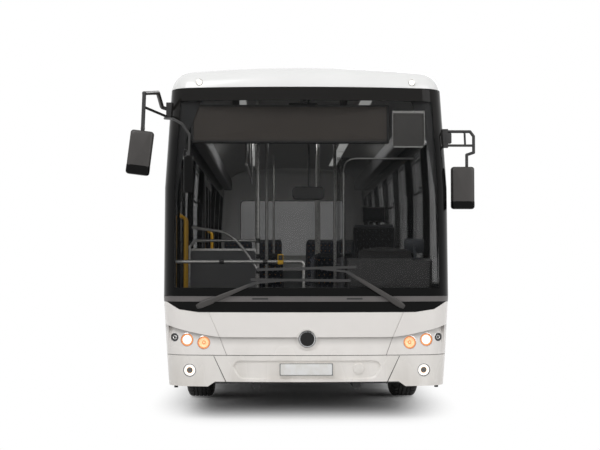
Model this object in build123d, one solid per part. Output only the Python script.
"""A 9.5 m low-floor battery-electric city bus, left-hand drive, built from its real panels and gear.

Millimetres. +Z is up, the front faces -Y and the driver sits on the +X side.
The origin is on the road, under the middle of the bus. Places along the bus are
given as distances behind the front face and turned into Y by back().
"""

from build123d import *
from math import sqrt, sin, cos, atan2, pi, radians
import os

os.makedirs("parts", exist_ok=True)

# ---------------------------------------------------------------- driving sizes
LENGTH = 9500
FRONT_Y = -4660              # the body's front face, so that body and mirrors are centred on the origin
FRONT_OVERHANG = 2100        # front face to front axle
WHEELBASE = 4300
RUN = 0.1                    # radial clearance of shafts and pins in their bores
SEAT = 0.5                   # gap between a panel or pane and what carries it
SEAM = 5.0                   # visible gap between neighbouring outer panels
CLEAR = 8.0                  # gap round doors and lids

# body skin: (height, half width, how far the front and the rear face stand in)
SKIRT_Z, BUMPER_Z, FOLD_Z, WAIST_Z, SHOULDER_Z, CANT_Z = 290, 546, 697, 1034, 1950, 2788
BODY_SECTIONS = (
    (SKIRT_Z, 1158, 22, 10),
    (BUMPER_Z, 1175, 0, 0),
    (FOLD_Z, 1185, 6, 0),
    (WAIST_Z, 1205, 2, 0),
    (SHOULDER_Z, 1205, 58, 31),
    (CANT_Z, 1155, 110, 60),
)
FRONT_PLAN_R, FRONT_CORNER_R = 6500, 210
REAR_PLAN_R, REAR_CORNER_R = 14000, 200
ROOF_TOP_Z, CROWN_R, ROOF_EDGE_R = 2974, 16700, 180
PANEL_T, WALL_T, ROOF_T, GLASS_T, SCREEN_T = 45, 60, 60, 8, 10
FRONT_SEAM, REAR_SEAM, DOME_SEAM = 300, 9190, 420    # where mask, dome and rear end join the walls

# floor
FLOOR_Z, FLOOR_T = 360, 35
STEP_BACK, PLATFORM_Z = 5830, 620
CAB_X, CAB_BACK, CAB_Z = 330, 1500, 600
PLATE_T = 15

# wheels and axles
TYRE_R, TYRE_W, RIM_R = 433, 264, 248
TRACK_X, TWIN_X = 1000, 700          # outer and inner wheel centre planes
KING_X, KING_R, BOSS_R = 835, 24, 52
SPINDLE_R, HUB_R = 42, 92
STEER_ARM = 190
TRACK_ROD_Z, TRACK_ROD_R, ROD_EYE = 222, 13, 18
ARCH_R, ARCH_HALF_F, ARCH_HALF_R = 560, 575, 525
AXLE_SLOT = 130
BOX_X_F, BOX_X_R, BOX_TOP_Z = 560, 545, 1050

# doorways: (name, front edge, rear edge) as distances behind the front face
DOORWAYS = (("front", 352, 1432), ("mid", 4400, 5620))
DOOR_TOP_Z, LEAF_Z0, LEAF_Z1 = 2400, 394, 2364
DOOR_X, LEAF_T = -1130, 36
POST_R, POST_IN, LEAF_GAP, ARM_T = 18, 28, 8, 20
HUB_LIP = 4                            # how far an arm's hub stands out from the post
LEAF_FRAME = 48

# windows: (front edge, rear edge) as distances behind the front face
WIN_Z0, WIN_Z1 = 1130, 2400
WINDOWS_LEFT = ((370, 1480), (1560, 2840), (2920, 4200), (4280, 5560), (5640, 6920), (7000, 8140), (8220, 9100))
WINDOWS_RIGHT = ((1510, 2840), (2920, 4320), (5700, 6920), (7000, 8140), (8220, 9100))

# rear end
REAR_WIN = (850, 1480, 2380)         # half width, bottom, top
LID = (760, 640, 1180)
LID_T = 40
HINGE_R, HINGE_BORE = 14, 6


def back(distance):
    """Y of a place given as its distance behind the front face."""
    return FRONT_Y + distance


AXLE_F_Y = back(FRONT_OVERHANG)
AXLE_R_Y = back(FRONT_OVERHANG + WHEELBASE)


# ---------------------------------------------------------------- small helpers
def block(x0, x1, y0, y1, z0, z1):
    return Pos((x0 + x1) / 2, (y0 + y1) / 2, (z0 + z1) / 2) * Box(abs(x1 - x0), abs(y1 - y0), abs(z1 - z0))


def rod(start, end, radius):
    """A round bar between two points."""
    a, b = Vector(*start), Vector(*end)
    plane = Plane(origin=a, z_dir=(b - a))
    return extrude(plane * Circle(radius), (b - a).length)


def tube_x(x0, x1, y, z, radius):
    return rod((x0, y, z), (x1, y, z), radius)


def tube_y(x, y0, y1, z, radius):
    return rod((x, y0, z), (x, y1, z), radius)


def tube_z(x, y, z0, z1, radius):
    return rod((x, y, z0), (x, y, z1), radius)


def front_prism(points, y0, y1):
    """An outline drawn in the front view, (x, z) points, carried from y0 to y1."""
    face = make_face(Plane((0, y1, 0), x_dir=(1, 0, 0), z_dir=(0, -1, 0)) * Polyline(*points, close=True))
    return extrude(face, y1 - y0, dir=(0, -1, 0))


def side_prism(points, x0, x1):
    """An outline drawn in the side view, (y, z) points, carried from x0 to x1."""
    face = make_face(Plane((x0, 0, 0), x_dir=(0, 1, 0), z_dir=(1, 0, 0)) * Polyline(*points, close=True))
    return extrude(face, x1 - x0, dir=(1, 0, 0))


def mirrored(shape):
    return shape.mirror(Plane.YZ)


def joined(shapes):
    shapes = list(shapes)
    return shapes[0] + shapes[1:] if len(shapes) > 1 else shapes[0]


def save(name, shape):
    solids = shape.solids()
    export_step(solids[0] if len(solids) == 1 else Compound(children=list(solids)), f"parts/{name}.step")


# ---------------------------------------------------------------- body skin
def section_at(z):
    """The body's half width and how far its ends stand in, at any height below the cant rail."""
    for low, high in zip(BODY_SECTIONS, BODY_SECTIONS[1:]):
        if z <= high[0]:
            share = (z - low[0]) / (high[0] - low[0])
            return tuple(a + (b - a) * share for a, b in zip(low[1:], high[1:]))


def end_arcs(half, y_end, inward, plan_r, corner_r):
    """Points of one rounded end of a plan outline: middle, tangent point, corner middle, side point."""
    centre_y = y_end + inward * plan_r
    run = plan_r - corner_r
    corner_x = half - corner_r
    corner_y = centre_y - inward * sqrt(run**2 - corner_x**2)
    tangent = (corner_x / run * plan_r, centre_y + (corner_y - centre_y) / run * plan_r)
    start = atan2(corner_y - centre_y, corner_x)
    middle = (corner_x + corner_r * cos(start / 2), corner_y + corner_r * sin(start / 2))
    return (0, y_end), tangent, middle, (half, corner_y)


def plan_outline(z, half, front_in, rear_in, inset):
    """The body's outline in plan at one height, moved inwards by inset."""
    front = end_arcs(half - inset, FRONT_Y + front_in + inset, 1, FRONT_PLAN_R - inset, FRONT_CORNER_R - inset)
    rear = end_arcs(
        half - inset, FRONT_Y + LENGTH - rear_in - inset, -1, REAR_PLAN_R - inset, REAR_CORNER_R - inset
    )

    def at(point, side=1):
        return (side * point[0], point[1], z)

    edges = [
        Edge.make_three_point_arc(at(front[1], -1), at(front[0]), at(front[1])),
        Edge.make_three_point_arc(at(front[1]), at(front[2]), at(front[3])),
        Edge.make_line(at(front[3]), at(rear[3])),
        Edge.make_three_point_arc(at(rear[3]), at(rear[2]), at(rear[1])),
        Edge.make_three_point_arc(at(rear[1]), at(rear[0]), at(rear[1], -1)),
        Edge.make_three_point_arc(at(rear[1], -1), at(rear[2], -1), at(rear[3], -1)),
        Edge.make_line(at(rear[3], -1), at(front[3], -1)),
        Edge.make_three_point_arc(at(front[3], -1), at(front[2], -1), at(front[1], -1)),
    ]
    return Wire(edges)


HULLS = {}


def hull(inset):
    """The closed body from skirt to cant rail, its skin moved inwards by inset."""
    if inset not in HULLS:
        outlines = [plan_outline(*row, inset) for row in BODY_SECTIONS]
        HULLS[inset] = Part() + Solid.make_loft(outlines, ruled=True)
    return HULLS[inset]


SCOOP_LOW, SCOOP_HIGH, SCOOP_DEPTH = BUMPER_Z, 800, 34      # the hollow under the fold: foot, head, depth at the head


def scooped(inset):
    """The closed body over the height of the hollow, drawn in more and more towards its head."""
    outlines = [plan_outline(z, *section_at(z), inset + depth) for z, depth in ((SCOOP_LOW, 0), (SCOOP_HIGH, SCOOP_DEPTH))]
    return Part() + Solid.make_loft(outlines, ruled=True)


def skin(outer, inner, region):
    """The part of the body wall between two insets that lies inside a region."""
    return (hull(outer) & region) - hull(inner)


def roof_solid(inset):
    """The closed roof above the cant rail: crowned, with one rounded edge all round."""
    outline = plan_outline(*BODY_SECTIONS[-1], inset)
    walls = Pos(0, 0, -ROOF_EDGE_R) * extrude(make_face(outline), ROOF_EDGE_R + ROOF_TOP_Z - CANT_Z, dir=(0, 0, 1))
    top = ROOF_TOP_Z - inset
    crown = Pos(0, 0, top - CROWN_R) * Rot(90, 0, 0) * Cylinder(CROWN_R, 2 * LENGTH)
    roof = walls & crown
    rim = [e for e in roof.edges() if e.bounding_box().min.Z > CANT_Z]
    return fillet(rim, ROOF_EDGE_R - inset)


ROOFS = {}


def roof_body(inset):
    if inset not in ROOFS:
        ROOFS[inset] = roof_solid(inset)
    return ROOFS[inset]


def front_zone(z0, z1, x0=-1300, x1=1300):
    return block(x0, x1, FRONT_Y - 300, back(FRONT_SEAM) - SEAT / 2, z0, z1)


def wall_zone(side, z0, z1, d0=FRONT_SEAM, d1=REAR_SEAM):
    return block(side * 900, side * 1300, back(d0) + SEAT / 2, back(d1) - SEAT / 2, z0, z1)


# ---------------------------------------------------------------- front mask
LAMP_TABLE = (
    # x, z, radius
    (854, 652, 53),
    (994, 674, 53),
    (1112, 690, 34),
)
FOG_X, FOG_Z, FOG_R = 971, 423, 52
COWL_EDGE = ((1300, 1012), (1165, 990), (1060, 930), (900, 907))      # lower edge of the black panel, one side
STRIP_Z, COWL_IN = 989, 4


def cowl_outline(drop):
    """The black panel's outline in the front view, its lower edge let down by drop."""
    left = [(x, z - drop) for x, z in COWL_EDGE]
    right = [(-x, z) for x, z in reversed(left)]
    return [(1300, WAIST_Z + 6), *left, *right, (-1300, WAIST_Z + 6)]


def windscreen():
    return skin(0, SCREEN_T, front_zone(WAIST_Z + SEAM, CANT_Z - SEAM))


def cowl_strip():
    return skin(0, 30, front_zone(STRIP_Z + 1, WAIST_Z))


def cowl_panel():
    region = front_prism(cowl_outline(0), FRONT_Y - 300, back(FRONT_SEAM) - SEAT / 2) & front_zone(850, STRIP_Z - 1)
    return skin(COWL_IN, PANEL_T, region)


FOLD_LINE = ((1154, 790), (1050, 760), (880, 722), (780, 705), (700, 698))     # from the corner to the middle, one side
BADGE_R, BADGE_Z, COLLAR_W = 74, 683, 11
PANEL_SEAMS = (((-812, 903), (-723, 700)), ((-723, 700), (-663, 551)), ((800, 903), (712, 700)), ((712, 700), (655, 551)))
BUMPER_SEAMS = (((-771, 546), (-660, 300)), ((767, 546), (657, 300)))
RECESS = ((-560, 352), (-648, 506), (648, 506), (560, 352))                    # the shallow field round the plate
SEAM_CUT = 4


def lamp_bodies(table, radius_extra, y0, y1):
    return [tube_y(s * x, y0, y1, z, r + radius_extra) for x, z, r in table for s in (-1, 1)]


def under_fold():
    """Everything below the fold and between its two ends, as a prism through the mask."""
    right = [(-x, z) for x, z in reversed(FOLD_LINE)]
    outline = [(FOLD_LINE[0][0], SCOOP_LOW - 10), *FOLD_LINE, *right, (-FOLD_LINE[0][0], SCOOP_LOW - 10)]
    return front_prism(outline, FRONT_Y - 400, back(FRONT_SEAM) + 10)


def front_panel():
    """The mask: flush above the fold, hollowed below it, with lamp holes, the badge's collar and two seams a side."""
    region = front_zone(BUMPER_Z + SEAM, STRIP_Z)
    region -= front_prism(cowl_outline(SEAM), FRONT_Y - 400, back(FRONT_SEAM) + 10)
    hollow = under_fold()
    panel = skin(0, PANEL_T, region - hollow) + ((scooped(0) & (region & hollow)) - hull(PANEL_T))
    collar = tube_y(0, FRONT_Y - 50, back(FRONT_SEAM), BADGE_Z, BADGE_R + COLLAR_W)
    panel += skin(-7, PANEL_T, collar)
    panel -= skin(-9, -1, tube_y(0, FRONT_Y - 50, back(FRONT_SEAM), BADGE_Z, BADGE_R))
    for hole in lamp_bodies(LAMP_TABLE, 2, FRONT_Y - 50, back(FRONT_SEAM)):
        panel -= hole
    for a, b in PANEL_SEAMS:
        panel -= skin(-1, 8 if a[1] > FOLD_Z + 10 else 28, strip(a, b, SEAM_CUT))
    return panel


def front_bumper():
    region = front_zone(SKIRT_Z, BUMPER_Z)
    region -= front_prism([(-820, SKIRT_Z - 1), (-760, 330), (760, 330), (820, SKIRT_Z - 1)], FRONT_Y - 400, back(200))
    panel = skin(0, PANEL_T, region)
    field = front_prism(RECESS, FRONT_Y - 400, back(200))
    panel -= skin(-5, 14, fillet(field.edges().filter_by(Axis.Y), 55))
    for hole in lamp_bodies(((FOG_X, FOG_Z, FOG_R),), 2, FRONT_Y - 50, back(FRONT_SEAM)):
        panel -= hole
    panel -= tube_y(TOW_X, FRONT_Y - 50, back(80), TOW_Z, TOW_BOSS_R + CLEAR)
    for a, b in BUMPER_SEAMS:
        panel -= skin(-1, 9, strip(a, b, SEAM_CUT))
    x0, x1, z0, z1 = PLATE
    return panel + block(x0, x1, back(PLATE_IN), back(PANEL_T), z0, z1)


TOW_X, TOW_Z, TOW_R, TOW_BOSS_R, TOW_IN, TOW_DEPTH = 426, 438, 22, 36, 35, 115      # an open tube
PLATE, PLATE_IN = (-227, 213, 383, 484), 8


def front_lamps():
    """Lamp modules, seated in the hollow under the fold and in the bumper."""
    main = [
        (scooped(3) & body) - hull(PANEL_T + SEAT - 0.2)
        for body in lamp_bodies(LAMP_TABLE, 0, FRONT_Y - 50, back(FRONT_SEAM))
    ]
    fog = [
        skin(3, PANEL_T + SEAT - 0.2, body)
        for body in lamp_bodies(((FOG_X, FOG_Z, FOG_R),), 0, FRONT_Y - 50, back(FRONT_SEAM))
    ]
    return joined(main + fog)


def front_frame():
    """The front bulkhead behind the mask, open where the windscreen is."""
    low = skin(PANEL_T + SEAT, 90, front_zone(SKIRT_Z + 30, WAIST_Z + 2))
    top = skin(SCREEN_T + SEAT, WALL_T, front_zone(WAIST_Z + 2, CANT_Z))
    window = block(-1300, 1300, FRONT_Y - 300, back(FRONT_SEAM - 75), 1105, 2690)
    frame = low + (top - window)
    frame += tube_y(TOW_X, back(TOW_IN), back(TOW_IN + TOW_DEPTH), TOW_Z, TOW_BOSS_R)
    return frame - tube_y(TOW_X, back(0), back(TOW_IN + TOW_DEPTH + 10), TOW_Z, TOW_R)


WIPERS = (
    # pivot, elbow, tip, blade start, blade end, as (x, z)
    ((-886, 958), (-425, 1146), (-160, 1168), (-466, 1172), (359, 1164)),
    ((780, 960), (326, 1238), (110, 1262), (-416, 1254), (408, 1276)),
)


def strip(a, b, width):
    """A narrow band in the front view from a to b."""
    dx, dz = b[0] - a[0], b[1] - a[1]
    n = sqrt(dx * dx + dz * dz)
    ox, oz = -dz / n * width / 2, dx / n * width / 2
    pts = [(a[0] + ox, a[1] + oz), (b[0] + ox, b[1] + oz), (b[0] - ox, b[1] - oz), (a[0] - ox, a[1] - oz)]
    return front_prism(pts, FRONT_Y - 300, back(200))


def wipers():
    shapes = []
    for pivot, elbow, tip, start, end in WIPERS:
        arm = skin(-34, -18, strip(pivot, elbow, 26))
        arm += skin(-34, -18, strip(elbow, tip, 18))
        arm += skin(-26, -6, strip(start, end, 22))
        arm += skin(-36, COWL_IN - SEAT, tube_y(pivot[0], FRONT_Y - 200, back(200), pivot[1], 24))
        shapes.append(arm)
    return joined(shapes)


# ---------------------------------------------------------------- side walls
def arch_cuts(side):
    return [
        tube_x(side * 800, side * 1400, y, TYRE_R, ARCH_R)
        for y in (AXLE_F_Y, AXLE_R_Y)
    ]


ARCH_LIP, LIP_OUT = 22, 9
FLAPS = ((1, (1340, 2730, 3540, 4350, 5160, 5780, 7020, 7740, 8460)), (-1, (2730, 3540, 4340, 5780, 7020, 7740, 8460)))


def skirt(side):
    """A lower side wall: rolled lips round the arches and seams where the flaps meet."""
    wall = skin(0, WALL_T, wall_zone(side, SKIRT_Z, WAIST_Z))
    for y in (AXLE_F_Y, AXLE_R_Y):
        wall += skin(-LIP_OUT, 10, tube_x(side * 1100, side * 1300, y, TYRE_R, ARCH_R + ARCH_LIP) & wall_zone(side, SKIRT_Z, WAIST_Z))
    for cut in arch_cuts(side):
        wall -= cut
    for d in dict(FLAPS)[side]:
        wall -= skin(-1, 6, block(side * 900, side * 1300, back(d) - SEAM_CUT / 2, back(d) + SEAM_CUT / 2, SKIRT_Z + 20, WAIST_Z - 60))
    if side < 0:
        for _, d0, d1 in DOORWAYS:
            wall -= block(-1400, -800, back(d0), back(d1), FLOOR_Z - FLOOR_T - SEAT, WAIST_Z + 10)
    return wall


def side_frame(side):
    wall = skin(0, WALL_T, wall_zone(side, WAIST_Z + SEAT, CANT_Z))
    windows = WINDOWS_LEFT if side > 0 else WINDOWS_RIGHT
    for d0, d1 in windows:
        wall -= block(side * 900, side * 1400, back(d0), back(d1), WIN_Z0, WIN_Z1)
    if side < 0:
        for _, d0, d1 in DOORWAYS:
            wall -= block(-1400, -800, back(d0), back(d1), WAIST_Z - 10, DOOR_TOP_Z)
    return wall


def side_glass(side):
    windows = WINDOWS_LEFT if side > 0 else WINDOWS_RIGHT
    return joined(
        skin(0, GLASS_T, block(side * 900, side * 1400, back(d0) + SEAT, back(d1) - SEAT, WIN_Z0 + SEAT, WIN_Z1 - SEAT))
        for d0, d1 in windows
    )


# ---------------------------------------------------------------- roof
def roof_zone(d0, d1):
    return block(-1400, 1400, back(d0), back(d1), CANT_Z + SEAT, ROOF_TOP_Z + 200)


def front_dome():
    return (roof_body(0) & roof_zone(-200, DOME_SEAM - SEAT)) - roof_body(ROOF_T)


def roof():
    return (roof_body(0) & roof_zone(DOME_SEAM, LENGTH + 200)) - roof_body(ROOF_T)


POD = (860, 2400, 7000, ROOF_TOP_Z + 256)          # half width, front, rear, top


POD_JOINTS = (3550, 4700, 5850)
POD_GRILLES = ((2620, 760, 5), (3730, 800, 5), (4880, 800, 5), (6030, 760, 5))         # start, length, rows
GRILLE_PITCH, GRILLE_SLOT = 26, 13
POD_FANS, FAN_R = (2980, 3600 + 525, 4750 + 525, 6425), 190


def roof_pod():
    """The closed cover of the roof packs: joints between modules, side grilles and a guarded fan on each module."""
    half, d0, d1, top = POD
    pod = block(-half, half, back(d0), back(d1), ROOF_TOP_Z - 100, top)
    pod = fillet(pod.edges().filter_by(Axis.Z) + pod.faces().sort_by(Axis.Z)[-1].edges(), 70)
    for d in POD_JOINTS:
        pod -= block(-half - 5, half + 5, back(d) - 4, back(d) + 4, top - 8, top + 5)
    for d, length, rows in POD_GRILLES:
        for row in range(rows):
            z = top - 95 - row * GRILLE_PITCH
            for s in (-1, 1):
                pod -= block(s * (half - 16), s * (half + 5), back(d), back(d + length), z - GRILLE_SLOT, z)
    for d in POD_FANS:
        pod -= tube_z(0, back(d), top - 50, top + 5, FAN_R)
        pod += tube_z(0, back(d), top - 51, top - 8, 62)
        for angle in range(0, 180, 45):
            pod += Pos(0, back(d), top - 12) * Rot(0, 0, angle) * Box(2 * FAN_R + 10, 12, 8)
    return pod - (Pos(0, 0, ROOF_TOP_Z + SEAT - CROWN_R) * Rot(90, 0, 0) * Cylinder(CROWN_R, 2 * LENGTH))


# ---------------------------------------------------------------- rear end
TAIL_TABLE = ((1040, 1330, 46), (1040, 1210, 46), (1040, 1090, 46), (1040, 970, 46))


def rear_zone(z0, z1, half=1300):
    return block(-half, half, back(REAR_SEAM) + SEAT / 2, back(LENGTH + 300), z0, z1)


LID_AXIS_Y = back(LENGTH) + 14
LID_AXIS_Z = LID[2] + 14


def rear_panel():
    half, z0, z1 = REAR_WIN
    wall = skin(0, WALL_T, rear_zone(BUMPER_Z + SEAM, CANT_Z))
    wall -= block(-half, half, back(REAR_SEAM), back(LENGTH + 300), z0, z1)
    wall -= block(-LID[0] - CLEAR, LID[0] + CLEAR, back(REAR_SEAM), back(LENGTH + 300), LID[1] - CLEAR, LID[2] + CLEAR)
    for x, z, r in TAIL_TABLE:
        for s in (-1, 1):
            wall -= tube_y(s * x, back(REAR_SEAM), back(LENGTH + 100), z, r + 2)
    for s in (-1, 1):
        pin = tube_x(s * 420 - 60, s * 420 + 60, LID_AXIS_Y, LID_AXIS_Z, HINGE_BORE)
        for dx in (-52, 52):
            x = s * 420 + dx
            pin += tube_x(x - 8, x + 8, LID_AXIS_Y, LID_AXIS_Z, HINGE_R)
            pin += block(x - 8, x + 8, back(LENGTH) - 30, LID_AXIS_Y, LID_AXIS_Z, LID_AXIS_Z + HINGE_R)
        wall += pin
    return wall


def rear_window():
    half, z0, z1 = REAR_WIN
    return skin(
        0, GLASS_T, block(-half + SEAT, half - SEAT, back(REAR_SEAM), back(LENGTH + 300), z0 + SEAT, z1 - SEAT)
    )


LOUVRE = (600, 730, 1090, 11)          # half width, foot, head, number of slats
SLAT_T, SLAT_W, SLAT_TILT = 5, 40, 38


def louvre_slats():
    """Sloping slats, each cut to the lid's own curve, with two posts behind them."""
    half, z0, z1, count = LOUVRE
    y = back(LENGTH - 22)
    pitch = (z1 - z0) / count
    slats = joined(
        Pos(0, y, z0 + (i + 0.5) * pitch) * Rot(-SLAT_TILT, 0, 0) * Box(2 * half + 20, SLAT_W, SLAT_T) for i in range(count)
    )
    posts = joined(block(x - 10, x + 10, back(LENGTH - 60), back(LENGTH - 22), z0 - 10, z1 + 10) for x in (-200, 200))
    return skin(2, LID_T, block(-half - 8, half + 8, back(REAR_SEAM), back(LENGTH + 300), z0 - 8, z1 + 8)) & (slats + posts)


def rear_lid():
    half, z0, z1 = LID
    lid = skin(0, LID_T, block(-half, half, back(REAR_SEAM), back(LENGTH + 300), z0, z1))
    lid -= block(-LOUVRE[0], LOUVRE[0], back(REAR_SEAM), back(LENGTH + 300), LOUVRE[1], LOUVRE[2])
    lid += louvre_slats()
    for s in (-1, 1):
        x0, x1 = s * 420 - 40, s * 420 + 40
        lid += tube_x(x0, x1, LID_AXIS_Y, LID_AXIS_Z, HINGE_R)
        lid += block(x0, x1, LID_AXIS_Y - 14, LID_AXIS_Y - 7, LID[2] - 20, LID_AXIS_Z)
        lid += block(x0, x1, back(LENGTH) - 20, LID_AXIS_Y - 7, LID[2] - 30, LID[2])
        lid -= tube_x(x0 - 1, x1 + 1, LID_AXIS_Y, LID_AXIS_Z, HINGE_BORE + RUN)
    return lid


def tail_lamps():
    return joined(
        skin(2, WALL_T - 10, tube_y(s * x, back(REAR_SEAM), back(LENGTH + 100), z, r + 1.2))
        for x, z, r in TAIL_TABLE
        for s in (-1, 1)
    )


def rear_bumper():
    bumper = skin(-12, WALL_T, rear_zone(SKIRT_Z, BUMPER_Z))
    bumper -= tube_y(TOW_X, back(LENGTH - TOW_IN), back(LENGTH + 50), TOW_Z, TOW_BOSS_R + CLEAR)
    bumper += tube_y(TOW_X, back(LENGTH - TOW_IN - TOW_DEPTH), back(LENGTH - TOW_IN), TOW_Z, TOW_BOSS_R)
    return bumper - tube_y(TOW_X, back(LENGTH - TOW_IN - TOW_DEPTH - 10), back(LENGTH + 50), TOW_Z, TOW_R)


# ---------------------------------------------------------------- floor, chassis, wheel boxes
def inside(inset, d0, d1, z0, z1):
    return hull(inset) & block(-1300, 1300, back(d0), back(d1), z0, z1)


def floor_edge():
    return WALL_T + SEAT


def wheel_box_spots():
    return ((AXLE_F_Y, ARCH_HALF_F, BOX_X_F), (AXLE_R_Y, ARCH_HALF_R, BOX_X_R))


def floor():
    z0 = FLOOR_Z - FLOOR_T
    low = inside(floor_edge(), FRONT_SEAM, STEP_BACK, z0, FLOOR_Z)
    low += inside(90 + SEAT, -100, FRONT_SEAM, z0, FLOOR_Z)
    for _, d0, d1 in DOORWAYS:
        low += hull(6) & block(-1300, -1000, back(d0) + SEAT, back(d1) - SEAT, z0, FLOOR_Z)
    low -= block(CAB_X + 20, 1300, FRONT_Y - 10, back(CAB_BACK) - 20, z0 - 1, FLOOR_Z + 1)
    cab = inside(floor_edge(), FRONT_SEAM, CAB_BACK, z0, CAB_Z) + inside(90 + SEAT, -100, FRONT_SEAM, z0, CAB_Z)
    cab &= block(CAB_X, 1300, FRONT_Y, back(CAB_BACK), z0, CAB_Z)
    cab -= block(CAB_X + 20, 1250, FRONT_Y - 10, back(CAB_BACK) - 20, z0 - 1, CAB_Z - 25)
    rear = inside(floor_edge(), STEP_BACK - 20, REAR_SEAM, z0, PLATFORM_Z)
    rear -= block(-1300, 1300, back(STEP_BACK), back(LENGTH), z0 - 1, PLATFORM_Z - FLOOR_T)
    plate = low + cab + rear
    for y, half, x in wheel_box_spots():
        for s in (-1, 1):
            plate -= block(s * (x - PLATE_T - SEAT), s * 1400, y - half - PLATE_T - SEAT, y + half + PLATE_T + SEAT,
                           z0 - 1, PLATFORM_Z + 1)
    return plate


def wheel_box(side, y, half, x):
    """A plate box over one wheel, open to the road and to the side."""
    outer = block(side * (x - PLATE_T), side * 1300, y - half - PLATE_T, y + half + PLATE_T, SKIRT_Z + 20, BOX_TOP_Z)
    inner = block(side * x, side * 1400, y - half, y + half, SKIRT_Z - 10, BOX_TOP_Z - PLATE_T)
    axle = block(side * 500, side * 700, y - AXLE_SLOT, y + AXLE_SLOT, SKIRT_Z, TYRE_R + AXLE_SLOT)
    return ((outer - inner) & hull(floor_edge())) - axle


def wheel_boxes(y, half, x):
    return joined(wheel_box(s, y, half, x) for s in (-1, 1))


RAIL_X, RAIL_W, RAIL_Z = 420, 60, 262
CROSS_LOW = (340, 760, 1180, 1440, 2710, 3330, 3950, 4570, 5190, 5760)
CROSS_HIGH = (7000, 7700, 8400, 9100)


def chassis_frame():
    """The low front and middle module and the raised rear one, butted at the step and fixed through the floor."""
    top, high = FLOOR_Z - FLOOR_T, PLATFORM_Z - FLOOR_T
    frame = Part()
    for s in (-1, 1):
        x0, x1 = s * (RAIL_X - RAIL_W / 2), s * (RAIL_X + RAIL_W / 2)
        frame += block(x0, x1, back(200), back(STEP_BACK - 20), RAIL_Z, top)
        frame += block(x0, x1, back(STEP_BACK), back(9150), high - 62, high)
        frame += block(x0, x1, back(STEP_BACK), back(STEP_BACK + 60), RAIL_Z, high)
        frame += block(x0, x1, back(STEP_BACK - 20) + SEAT, back(STEP_BACK), RAIL_Z, top - SEAT)
    for d in CROSS_LOW:
        frame += inside(floor_edge(), d, d + 50, RAIL_Z, top) & block(-1300, 1300, back(d), back(d + 50), RAIL_Z, top)
    for d in (2075, 2125):
        frame += block(-RAIL_X, RAIL_X, back(d) - 20, back(d) + 20, RAIL_Z, top)
    for d in CROSS_HIGH:
        frame += inside(floor_edge(), d, d + 50, high - 62, high)
    return frame


# ---------------------------------------------------------------- axles, knuckles, wheels
def front_axle():
    """Dropped beam with a kingpin fork at each end, kingpins in place."""
    beam = block(-790, 790, AXLE_F_Y - 35, AXLE_F_Y + 35, 160, 240)
    for s in (-1, 1):
        beam += block(s * 700, s * 770, AXLE_F_Y - 35, AXLE_F_Y + 35, 160, TYRE_R + 125)
        for z0, z1 in ((TYRE_R - 120, TYRE_R - 75.5), (TYRE_R + 75.5, TYRE_R + 120)):
            beam += block(s * 700, s * KING_X, AXLE_F_Y - 35, AXLE_F_Y + 35, z0, z1)
            beam += tube_z(s * KING_X, AXLE_F_Y, z0, z1, BOSS_R)
        beam += tube_z(s * KING_X, AXLE_F_Y, TYRE_R - 120, TYRE_R + 120, KING_R)
        beam += block(s * 640, s * 770, AXLE_F_Y - 70, AXLE_F_Y + 70, TYRE_R + 125, TYRE_R + 140)
    return beam


def knuckle_left():
    """Kingpin boss, wheel spindle and steering arm."""
    boss = tube_z(KING_X, AXLE_F_Y, TYRE_R - 75, TYRE_R + 75, BOSS_R)
    boss += tube_x(KING_X, TRACK_X + 62, AXLE_F_Y, TYRE_R, SPINDLE_R)
    boss += tube_x(KING_X + 60, KING_X + 72, AXLE_F_Y, TYRE_R, 150)
    y = AXLE_F_Y + STEER_ARM
    boss += block(KING_X - 16, KING_X + 16, AXLE_F_Y + 20, y + 22, TYRE_R - 75, TYRE_R - 45)
    boss += tube_z(KING_X, y, TRACK_ROD_Z + ROD_EYE + 5, TYRE_R - 45, 22)
    boss += tube_z(KING_X, y, TRACK_ROD_Z - ROD_EYE - 6, TYRE_R - 45, 9)
    return boss - tube_z(KING_X, AXLE_F_Y, TYRE_R - 80, TYRE_R + 80, KING_R + RUN)


def track_rod():
    y = AXLE_F_Y + STEER_ARM
    bar = tube_x(-KING_X, KING_X, y, TRACK_ROD_Z, TRACK_ROD_R)
    for s in (-1, 1):
        bar += tube_z(s * KING_X, y, TRACK_ROD_Z - ROD_EYE, TRACK_ROD_Z + ROD_EYE, 26)
    bar -= tube_z(KING_X, y, TRACK_ROD_Z - 40, TRACK_ROD_Z + 40, 9 + RUN)
    return bar - tube_z(-KING_X, y, TRACK_ROD_Z - 40, TRACK_ROD_Z + 40, 9 + 5.5)


def turned_x(points, x, y, z):
    """A solid of revolution about a line along X: points are (along the axle, radius)."""
    face = make_face(Plane.XZ * Polyline(*points, close=True))
    return Pos(x, y, z) * revolve(face, Axis.X)


TYRE_PROFILE = (
    (-104, RIM_R), (-132, RIM_R + 70), (-124, TYRE_R - 36), (-96, TYRE_R), (96, TYRE_R), (124, TYRE_R - 36),
    (132, RIM_R + 70), (104, RIM_R),
)


def tyre(x, y):
    return turned_x(TYRE_PROFILE, x, y, TYRE_R)


def front_rim(x, y):
    """Steel disc wheel with its hub, dished outwards, bored for the spindle."""
    r = RIM_R - 0.3
    bore = SPINDLE_R + RUN
    profile = (
        (-104, r), (-104, r - 14), (-60, r - 22), (30, r - 24), (52, r - 40), (58, 160), (64, 140),
        (60, HUB_R), (-40, HUB_R), (-40, bore), (70, bore), (70, 78), (84, 76), (84, 130), (78, 165),
        (72, r - 32), (90, r - 18), (108, r - 8), (108, r),
    )
    return turned_x(profile, x, y, TYRE_R)


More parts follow.
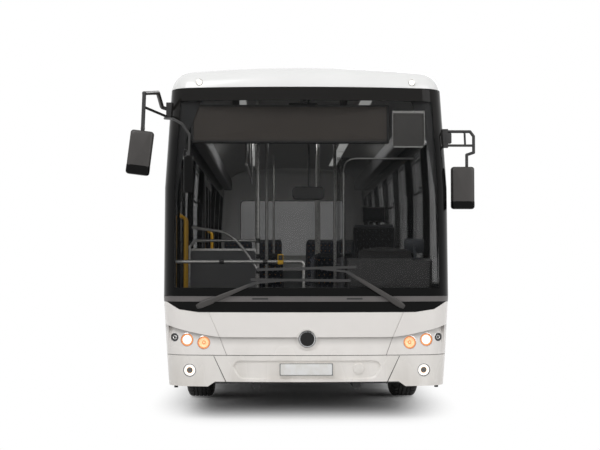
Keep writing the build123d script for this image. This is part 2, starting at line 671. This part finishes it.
def rear_rims(side):
    """The twin disc wheels of one side with their hub, bolted face to face."""
    r = RIM_R - 0.3
    bore = SPINDLE_R + RUN
    joint = (TRACK_X + TWIN_X) / 2
    a, b = TWIN_X - joint, TRACK_X - joint
    profile = (
        (a - 104, r), (a - 104, r - 12), (a + 40, r - 20), (a + 90, r - 34), (-14, 170), (-14, HUB_R + 20), (-60, HUB_R),
        (-60, bore), (120, bore), (120, HUB_R - 12), (60, HUB_R), (20, HUB_R + 12), (14, 150), (14, 170),
        (b - 90, r - 34), (b - 40, r - 20), (b + 104, r - 12), (b + 104, r), (b - 104, r), (b - 104, r - 8),
        (6, 185), (-6, 185), (a + 104, r - 8), (a + 104, r),
    )
    wheel = turned_x(profile, joint, AXLE_R_Y, TYRE_R)
    return wheel if side > 0 else mirrored(wheel)


def rear_axle():
    spindle_end = (TRACK_X + TWIN_X) / 2 + 110
    axle = tube_x(-760, 760, AXLE_R_Y, TYRE_R, 72)
    axle += tube_x(-spindle_end, spindle_end, AXLE_R_Y, TYRE_R, SPINDLE_R)
    axle += Pos(0, AXLE_R_Y, TYRE_R) * Sphere(150) & block(-150, 150, AXLE_R_Y - 150, AXLE_R_Y + 150, 250, 512)
    for s in (-1, 1):
        axle += block(s * 360, s * 480, AXLE_R_Y - 390, AXLE_R_Y + 390, 235, 290)
        axle += block(s * 380, s * 460, AXLE_R_Y - 60, AXLE_R_Y + 60, 235, TYRE_R)
    return axle


SPRING_R_F, SPRING_R_R = 70, 95


def bellows(x, y, z0, z1, radius):
    """A rolling-lobe air spring."""
    h = z1 - z0
    profile = [(0, 0), (radius * 0.7, 0), (radius * 0.78, h * 0.35), (radius, h * 0.45), (radius, h * 0.8),
               (radius * 0.85, h * 0.95), (radius * 0.85, h), (0, h)]
    face = make_face(Plane.XZ * Polyline(*profile, close=True))
    return Pos(x, y, z0) * revolve(face, Axis.Z)


def air_springs():
    shapes = []
    for s in (-1, 1):
        shapes.append(bellows(s * 705, AXLE_F_Y, TYRE_R + 140, BOX_TOP_Z - PLATE_T - SEAT, SPRING_R_F))
        for dy in (-300, 300):
            shapes.append(bellows(s * RAIL_X, AXLE_R_Y + dy, 290, PLATFORM_Z - FLOOR_T - 62, SPRING_R_R))
    return joined(shapes)


def drive_motor():
    high = PLATFORM_Z - FLOOR_T
    return block(-280, 280, back(7150), back(7690), 300, high - SEAT)


def traction_battery():
    return block(-1000, 1000, back(8650), back(9150), PLATFORM_Z + SEAT, 1240)


# ---------------------------------------------------------------- doors
def door_spots():
    """(name, post y, direction along the doorway, arm length, panel half length) for each leaf."""
    spots = []
    for name, d0, d1 in DOORWAYS:
        middle = (d0 + d1) / 2
        run = middle - d0 - POST_IN
        arm = (run + POST_R + LEAF_GAP - LEAF_GAP / 2) / 2
        spots.append((f"{name}_a", back(d0 + POST_IN), 1, arm))
        spots.append((f"{name}_b", back(d1 - POST_IN), -1, arm))
    return spots


def door_post(y, way, arm):
    """The turning post at the doorway's edge, with clamped hubs and arms above and below its leaf."""
    post = tube_z(0, 0, FLOOR_Z + 0.3, DOOR_TOP_Z - 0.3, POST_R)
    for z0, z1, pin0, pin1 in (
        (LEAF_Z0 - 5 - ARM_T, LEAF_Z0 - 5, LEAF_Z0 - 5, LEAF_Z0 + 40),
        (LEAF_Z1 + 5, LEAF_Z1 + 5 + ARM_T, LEAF_Z1 - 40, LEAF_Z1 + 5),
    ):
        post += block(-14, 14, -arm, 0, z0, z1)
        post += tube_z(0, 0, z0, z1, POST_R + HUB_LIP)
        post += tube_z(0, -arm, z0, z1, 16)
        post += tube_z(0, -arm, pin0, pin1, 7)
    return Pos(DOOR_X, y) * Rot(0, 0, 180 if way > 0 else 0) * post


def door_leaf(y, way, arm):
    """A glazed leaf: frame, thin pane across its window, bores for the arms' pins."""
    centre = y + way * arm
    reach = arm - POST_R - LEAF_GAP
    y0, y1 = centre - reach, centre + reach
    x0, x1 = DOOR_X - LEAF_T / 2, DOOR_X + LEAF_T / 2
    leaf = block(x0, x1, y0, y1, LEAF_Z0, LEAF_Z1)
    for a, b in ((x0 + GLASS_T, x1 + 1),):
        leaf -= block(a, b, y0 + LEAF_FRAME, y1 - LEAF_FRAME, LEAF_Z0 + 2 * LEAF_FRAME, LEAF_Z1 - 2 * LEAF_FRAME)
    for z0, z1 in ((LEAF_Z0 - 1, LEAF_Z0 + 41), (LEAF_Z1 - 41, LEAF_Z1 + 1)):
        leaf -= tube_z(DOOR_X, centre, z0, z1, 7 + RUN)
    return leaf


# ---------------------------------------------------------------- inside
WHEEL_X, WHEEL_BACK, WHEEL_Z, WHEEL_TILT = 670, 640, 1330, 28
BINNACLE = 440
SEAT_W, SEAT_D = 430, 420


def dashboard():
    """The driver's console, open above the feet, with the steering column on it."""
    x0, x1 = CAB_X + 20, 1060
    d0 = 130
    outline = [(back(d0), CAB_Z + SEAT), (back(d0), 1120), (back(d0 + 60), 1350), (back(d0 + 190), 1420),
               (back(d0 + 330), 1330), (back(d0 + 380), 1180), (back(d0 + 250), 1050), (back(d0 + 250), CAB_Z + SEAT)]
    shelf = [(back(d0), CAB_Z + SEAT), (back(d0), 1120), (back(d0 + 60), 1330), (back(d0 + 190), 1352),
             (back(d0 + 310), 1318), (back(d0 + 350), 1190), (back(d0 + 250), 1050), (back(d0 + 250), CAB_Z + SEAT)]
    binnacle = side_prism(outline, WHEEL_X - BINNACLE / 2, WHEEL_X + BINNACLE / 2)
    hood = binnacle.edges().group_by(Axis.Z)[-1].filter_by(Axis.X)
    dash = (side_prism(shelf, x0, x1) + fillet(hood, 30)) & hull(90 + SEAT)
    y0 = back(WHEEL_BACK)
    t = radians(WHEEL_TILT)
    top = (WHEEL_X, y0 - 40 * sin(t), WHEEL_Z - 40 * cos(t))
    foot = (WHEEL_X, y0 - 560 * sin(t), WHEEL_Z - 560 * cos(t))
    column = rod(top, foot, 38)
    column += rod(foot, (WHEEL_X, foot[1], CAB_Z + SEAT), 38) + (Pos(*foot) * Sphere(38))
    return dash + column


def steering_wheel():
    ring = Torus(225, 15) + Pos(0, 0, -14) * Cylinder(48, 50)
    for angle in (0, 120, 240):
        ring += Rot(0, 0, angle + 90) * Pos(130, 0, -6) * Box(190, 34, 12)
    return Pos(WHEEL_X, back(WHEEL_BACK), WHEEL_Z) * Rot(-WHEEL_TILT, 0, 0) * ring


def chair_at_origin(high_back=0):
    """A seat facing forwards on a floor at height 0: a bent shell with two pads on it, and one pedestal with a foot."""
    half, top = SEAT_W / 2, 1080 + high_back
    shell = [(4, 404), (10, 440), (60, 452), (380, 440), (412, 462), (488, top), (520, top), (444, 420), (404, 400), (30, 396)]
    pad = [(12, 440), (4, 470), (30, 488), (200, 478), (388, 470), (400, 440), (380, 436), (60, 448)]
    rest = [(398, 520), (372, 560), (398, 820), (440, top - 50), (476, top - 40), (484, top - 60), (420, 520)]
    body = side_prism(shell, -half, half) + side_prism(pad, 18 - half, half - 18) + side_prism(rest, 22 - half, half - 22)
    face = front_prism([(-half, 380), (-half, top), (half, top), (half, 380)], -10, 540)
    body &= fillet(face.edges().filter_by(Axis.Y).group_by(Axis.Z)[-1], 75)
    leg = side_prism([(190, 404), (150, 8), (330, 8), (300, 404)], -45, 45) + block(-110, 110, 120, 360, 0.3, 8)
    rib = side_prism([(440, 470), (500, top - 60), (512, top - 60), (456, 470)], -9, 9)
    return body + leg + Pos(-120, 0, 0) * rib + Pos(120, 0, 0) * rib


def chair(x, d, z, high_back=0):
    return Pos(x, back(d), z) * chair_at_origin(high_back)


SEATS = (
    # x, distances of the rows, floor height
    (830, (2760, 3480, 4200, 4920), FLOOR_Z),
    (380, (2760, 3480, 4200, 4920), FLOOR_Z),
    (-830, (2760, 3480), FLOOR_Z),
    (-380, (2760, 3480), FLOOR_Z),
    (830, (7000, 7720), PLATFORM_Z),
    (380, (7000, 7720), PLATFORM_Z),
    (-830, (7000, 7720), PLATFORM_Z),
    (-380, (7000, 7720), PLATFORM_Z),
)


def passenger_seats():
    seat = chair_at_origin()
    return joined(Pos(x, back(d), z) * seat for x, row, z in SEATS for d in row)


def driver_seat():
    seat = chair(WHEEL_X, 980, CAB_Z - 40, 60)
    foot = block(WHEEL_X - 150, WHEEL_X + 150, back(1060), back(1380), CAB_Z + SEAT, CAB_Z + 60)
    head = block(WHEEL_X - 110, WHEEL_X + 110, back(1465), back(1465) + 60, CAB_Z + 1080, CAB_Z + 1260)
    return (seat & block(0, 1300, back(900), back(1800), CAB_Z + SEAT, 3000)) + foot + head


PARTITION_BACK, PARTITION_TOP = 1545, 2330
CAB_HINGE, CAB_POST_R = (340, 1525), 16                  # x and distance of the cab door's post
CAB_DOOR = (640, 24, CAB_Z + 8, 1400)                    # width, thickness, foot, head
SLEEVES, SLEEVE_R = ((720, 800), (1240, 1320)), 25


def driver_partition():
    """The screen behind the driver, standing on the wheel box, with the post that the cab door turns on."""
    d0, d1 = PARTITION_BACK, PARTITION_BACK + 25
    x, y = CAB_HINGE[0], back(CAB_HINGE[1])
    wall = inside(floor_edge(), d0, d1, BOX_TOP_Z + SEAT, PARTITION_TOP) & block(
        x + 32, 1300, back(d0), back(d1), BOX_TOP_Z, PARTITION_TOP
    )
    wall += tube_z(x, y, FLOOR_Z + 0.3, PARTITION_TOP, CAB_POST_R)
    for z in (1080, 1500, 2250):
        wall += block(x - 8, x + 60, y - 8, back(d1), z, z + 50)
    return wall


def cab_door():
    """The low door beside the driver: a flush panel with a raised rail, on two sleeves round the post."""
    width, thick, z0, z1 = CAB_DOOR
    x, y = CAB_HINGE[0], back(CAB_HINGE[1])
    near, far = y - SLEEVE_R - 6, y - width
    door = block(x - thick / 2, x + thick / 2, far, near, z0, z1)
    door = fillet(door.edges().filter_by(Axis.X).group_by(Axis.Z)[-1].sort_by(Axis.Y)[0], 120)
    door -= block(x - thick, x - thick / 2 + 4, far + 60, near - 50, z0 + 60, z1 - 170)
    for low, high in SLEEVES:
        door += tube_z(x, y, low, high, SLEEVE_R) + block(x - 10, x + 10, near - 4, y, low, high)
        door -= tube_z(x, y, low - 1, high + 1, CAB_POST_R + RUN)
    door += tube_y(x - 30, far + 140, near - 120, z1 - 100, 9)
    for end in (far + 150, near - 130):
        door += tube_x(x - 30, x, end, z1 - 100, 8)
    return door


RAIL_R = 17
POLES = (
    # x, distance, floor height
    (-430, 1488, FLOOR_Z),
    (360, 2700, FLOOR_Z), (-360, 2700, FLOOR_Z),
    (230, 4140, FLOOR_Z), (-500, 4330, FLOOR_Z), (-500, 5690, FLOOR_Z),
    (300, 5780, FLOOR_Z), (-300, 6960, PLATFORM_Z), (300, 6960, PLATFORM_Z),
)


def ceiling_z(x, drop=0):
    return ROOF_TOP_Z - ROOF_T - drop - x * x / (2 * (CROWN_R - ROOF_T))


def bent_bar(points, radius):
    """Straight runs of round bar with a ball at each bend."""
    shape = Part()
    for a, b in zip(points, points[1:]):
        shape += rod(a, b, radius)
    for p in points[1:-1]:
        shape += Pos(*p) * Sphere(radius)
    return shape


BARRIER = (-1090, -447, 1455, 1530)        # outer end, inner end, head of the panel, top rail
GUARD_RAIL = ((-1112, 330, 1322), (-40, 330, 1322), (-20, 330, 1300), (-20, 330, 0))


def handrails():
    """Poles from floor to ceiling, the barrier behind the front door and the guard rail behind the windscreen."""
    poles = [tube_z(x, back(d), z + 0.3, ceiling_z(x) - 1, RAIL_R) for x, d, z in POLES]
    outer, inner, head, rail = BARRIER
    x, d, _ = POLES[0]
    y = back(d)
    barrier = poles[0] + block(outer, inner, y - 6, y + 6, FLOOR_Z + 60, head)
    barrier += bent_bar([(x, y, rail), (outer + 60, y, rail), (outer + 10, y, rail - 60), (outer + 10, y, FLOOR_Z + 0.3)], 14)
    guard = bent_bar([(x, back(d), z if z else FLOOR_Z + 0.3) for x, d, z in GUARD_RAIL], 15)
    return joined([barrier, *poles[1:], guard])


def destination_sign():
    """The display box behind the top of the windscreen, hung from the dome."""
    sign = block(-976, 700, back(240), back(330), 2331, 2651)
    for x in (-600, 320):
        sign += block(x - 30, x + 30, back(290), back(320), 2640, ROOF_TOP_Z) & roof_body(ROOF_T + SEAT)
    return sign


# ---------------------------------------------------------------- mirrors
def mirror_head(x0, x1, y, z0, z1, depth, edge=24):
    head = block(x0, x1, y - depth / 2, y + depth / 2, z0, z1)
    return fillet(head.edges(), edge)


def skin_x(z):
    """Half width of the body at a height."""
    return section_at(z)[0]


def mirror_kerb():
    y0, y1 = back(330), back(-150)
    head = Pos(-1362, y1, 2200) * Rot(0, 7, 0) * Pos(1362, -y1, -2200) * mirror_head(-1455, -1270, y1, 2025, 2382, 90)
    arm = bent_bar(
        [(-skin_x(2620) - SEAT, y0, 2620), (-1230, y0, 2640), (-1250, back(150), 2740), (-1330, y1, 2690),
         (-1342, y1, 2370)], 16)
    plate = block(-skin_x(2620) - 30, -skin_x(2620) + 60, y0 - 26, y0 + 26, 2540, 2680) - hull(-SEAT)
    near = bent_bar(
        [(-skin_x(2560) - 16, y0, 2560), (-1196, back(200), 2530), (-1100, back(-70), 2490), (-1020, back(-150), 2440),
         (-960, back(-160), 2350), (-966, back(-160), 2160)], 10)
    near += mirror_head(-1004, -930, back(-160), 1877, 2180, 44, 16)
    return plate + near + arm + head


def mirror_driver():
    y = back(345)
    head = mirror_head(1245, 1440, y, 1775, 2135, 90)
    arm = bent_bar([(skin_x(2400) + SEAT, y, 2440), (1410, y, 2440), (1440, y, 2400), (1440, y, 2260), (1380, y, 2240),
                    (1380, y, 2120)], 13)
    plate = block(skin_x(2400) - 60, skin_x(2400) + 40, y - 22, y + 22, 2300, 2460) - hull(-SEAT)
    return head + arm + plate


# ---------------------------------------------------------------- write every node
def main():
    nodes = {
        "chassis_frame": chassis_frame(),
        "floor": floor(),
        "wheel_boxes_front": wheel_boxes(*wheel_box_spots()[0]),
        "wheel_boxes_rear": wheel_boxes(*wheel_box_spots()[1]),
        "front_frame": front_frame(),
        "windscreen": windscreen(),
        "cowl_strip": cowl_strip(),
        "cowl_panel": cowl_panel(),
        "front_panel": front_panel(),
        "front_bumper": front_bumper(),
        "front_lamps": front_lamps(),
        "wipers": wipers(),
        "skirt_left": skirt(1),
        "skirt_right": skirt(-1),
        "side_frame_left": side_frame(1),
        "side_frame_right": side_frame(-1),
        "side_glass_left": side_glass(1),
        "side_glass_right": side_glass(-1),
        "front_dome": front_dome(),
        "roof": roof(),
        "roof_pod": roof_pod(),
        "rear_panel": rear_panel(),
        "rear_window": rear_window(),
        "rear_lid": rear_lid(),
        "rear_bumper": rear_bumper(),
        "tail_lamps": tail_lamps(),
        "front_axle": front_axle(),
        "rear_axle": rear_axle(),
        "air_springs": air_springs(),
        "drive_motor": drive_motor(),
        "traction_battery": traction_battery(),
        "knuckle_left": knuckle_left(),
        "knuckle_right": mirrored(knuckle_left()),
        "track_rod": track_rod(),
        "tyre_front_left": tyre(TRACK_X, AXLE_F_Y),
        "tyre_front_right": tyre(-TRACK_X, AXLE_F_Y),
        "rim_front_left": front_rim(TRACK_X, AXLE_F_Y),
        "rim_front_right": mirrored(front_rim(TRACK_X, AXLE_F_Y)),
        "tyres_rear_left": joined([tyre(TRACK_X, AXLE_R_Y), tyre(TWIN_X, AXLE_R_Y)]),
        "tyres_rear_right": joined([tyre(-TRACK_X, AXLE_R_Y), tyre(-TWIN_X, AXLE_R_Y)]),
        "rims_rear_left": rear_rims(1),
        "rims_rear_right": rear_rims(-1),
        "dashboard": dashboard(),
        "steering_wheel": steering_wheel(),
        "driver_seat": driver_seat(),
        "driver_partition": driver_partition(),
        "cab_door": cab_door(),
        "passenger_seats": passenger_seats(),
        "handrails": handrails(),
        "destination_sign": destination_sign(),
        "mirror_kerb": mirror_kerb(),
        "mirror_driver": mirror_driver(),
    }
    for name, y, way, arm in door_spots():
        nodes[f"door_post_{name}"] = door_post(y, way, arm)
        nodes[f"door_leaf_{name}"] = door_leaf(y, way, arm)
    for name, shape in nodes.items():
        save(name, shape)


main()
